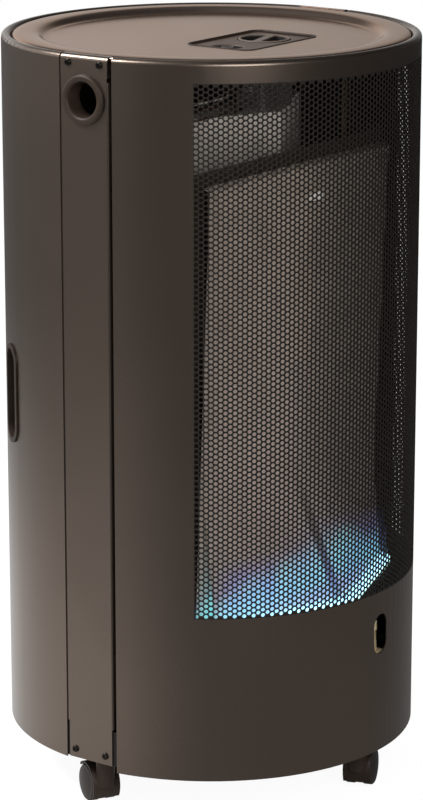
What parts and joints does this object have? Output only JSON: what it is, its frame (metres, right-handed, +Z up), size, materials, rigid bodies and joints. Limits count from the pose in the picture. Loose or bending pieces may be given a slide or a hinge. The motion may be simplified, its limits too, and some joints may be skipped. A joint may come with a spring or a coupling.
{
  "type": "cylindrical gas cabinet heater",
  "caption": "Round sheet-steel gas heater on casters, with a wide perforated window over a chevron burner, a dished lid with a recessed control and a lift-off rear cover.",
  "frame": {"origin": "on the floor, on the housing's axis, which is the bounding box's bottom centre", "axes": "+Z up, front towards -Y, the control knob's side towards +X"},
  "size_m": [0.425, 0.42, 0.766],
  "materials": {
    "enamel": "dark grey-brown satin metallic enamel",
    "grille_enamel": "dark enamel on perforated sheet",
    "lid_paint": "light warm grey satin paint",
    "base_enamel": "near-black enamel",
    "panel_plastic": "satin grey-brown moulded plastic",
    "dark_plastic": "fine-grained dark plastic",
    "knob_plastic": "dark grey-brown moulded plastic",
    "button_plastic": "moulded plastic",
    "wheel_plastic": "hard nylon",
    "brass": "turned",
    "copper": "drawn, dull",
    "cast_alloy": "die cast, dull",
    "heated_steel": "dark heat-stained coating",
    "reflector_steel": "aluminised sheet, slightly heat-stained",
    "shield_steel": "aluminised sheet",
    "burner_steel": "heat-dulled steel",
    "lead_cover": "silicone sleeve",
    "ceramic": "glazed ceramic sleeve on a steel wire",
    "screw_steel": "plated steel"
  },
  "bodies": {
    "housing": {"base_tray": "base_enamel", "lid": "lid_paint", "front_shell": "enamel", "front_grille": "grille_enamel", "pillar_right": "enamel", "pillar_left": "enamel", "grommet_right": "dark_plastic", "grommet_left": "dark_plastic", "control_panel": "panel_plastic", "gas_valve": "cast_alloy", "piezo_igniter": "dark_plastic", "bulkhead": "heated_steel", "reflector": "reflector_steel", "valve_shield": "shield_steel", "burner": "burner_steel", "feed_pipe": "brass", "pilot_pipe": "copper", "thermocouple": "copper", "ignition_lead": "lead_cover", "pilot_bracket": "burner_steel", "pilot_burner": "brass", "spark_electrode": "ceramic", "pillar_screws_right": "screw_steel", "pillar_screws_left": "screw_steel", "caster_stem_front": "screw_steel", "caster_stem_right": "screw_steel", "caster_stem_back": "screw_steel", "caster_stem_left": "screw_steel"},
    "rear_cover": {"rear_cover": "enamel", "grip_right": "dark_plastic", "grip_left": "dark_plastic"},
    "spindle": {"valve_spindle": "brass"},
    "knob": {"control_knob": "knob_plastic"},
    "piezo_button": {"piezo_button": "button_plastic"},
    "caster_front": {"caster_hood_front": "dark_plastic"},
    "wheels_front": {"caster_wheels_front": "wheel_plastic"},
    "caster_right": {"caster_hood_right": "dark_plastic"},
    "wheels_right": {"caster_wheels_right": "wheel_plastic"},
    "caster_back": {"caster_hood_back": "dark_plastic"},
    "wheels_back": {"caster_wheels_back": "wheel_plastic"},
    "caster_left": {"caster_hood_left": "dark_plastic"},
    "wheels_left": {"caster_wheels_left": "wheel_plastic"}
  },
  "joints": [
    {"name": "rear_cover_lift", "type": "slide", "parent": "housing", "child": "rear_cover", "axis": [0, 0, 1], "range_m": [0, 0.75]},
    {"name": "valve_turn", "type": "hinge", "parent": "housing", "child": "spindle", "pos_m": [0.023, -0.048, 0.745], "axis": [0, 0, 1], "range_deg": [0, 270]},
    {"name": "knob_press", "type": "slide", "parent": "spindle", "child": "knob", "axis": [0, 0, -1], "range_m": [0, 0.0045], "stiffness_N_per_m": 500, "springref_m": -0.004},
    {"name": "piezo_press", "type": "slide", "parent": "housing", "child": "piezo_button", "axis": [0, 0, -1], "range_m": [0, 0.005], "stiffness_N_per_m": 500, "springref_m": -0.004},
    {"name": "caster_front_swivel", "type": "hinge", "parent": "housing", "child": "caster_front", "pos_m": [0, -0.184, 0.045], "axis": [0, 0, 1], "continuous": true},
    {"name": "wheels_front_roll", "type": "hinge", "parent": "caster_front", "child": "wheels_front", "pos_m": [0.01691, -0.17784, 0.019], "axis": [-0.342, 0.9397, 0], "continuous": true},
    {"name": "caster_right_swivel", "type": "hinge", "parent": "housing", "child": "caster_right", "pos_m": [0.184, 0, 0.045], "axis": [0, 0, 1], "continuous": true},
    {"name": "wheels_right_roll", "type": "hinge", "parent": "caster_right", "child": "wheels_right", "pos_m": [0.17934, -0.01739, 0.019], "axis": [0.9659, -0.2588, 0], "continuous": true},
    {"name": "caster_back_swivel", "type": "hinge", "parent": "housing", "child": "caster_back", "pos_m": [0, 0.184, 0.045], "axis": [0, 0, 1], "continuous": true},
    {"name": "wheels_back_roll", "type": "hinge", "parent": "caster_back", "child": "wheels_back", "pos_m": [-0.01691, 0.17784, 0.019], "axis": [0.342, -0.9397, 0], "continuous": true},
    {"name": "caster_left_swivel", "type": "hinge", "parent": "housing", "child": "caster_left", "pos_m": [-0.184, 0, 0.045], "axis": [0, 0, 1], "continuous": true},
    {"name": "wheels_left_roll", "type": "hinge", "parent": "caster_left", "child": "wheels_left", "pos_m": [-0.175, 0.01559, 0.019], "axis": [-0.866, 0.5, 0], "continuous": true}
  ]
}
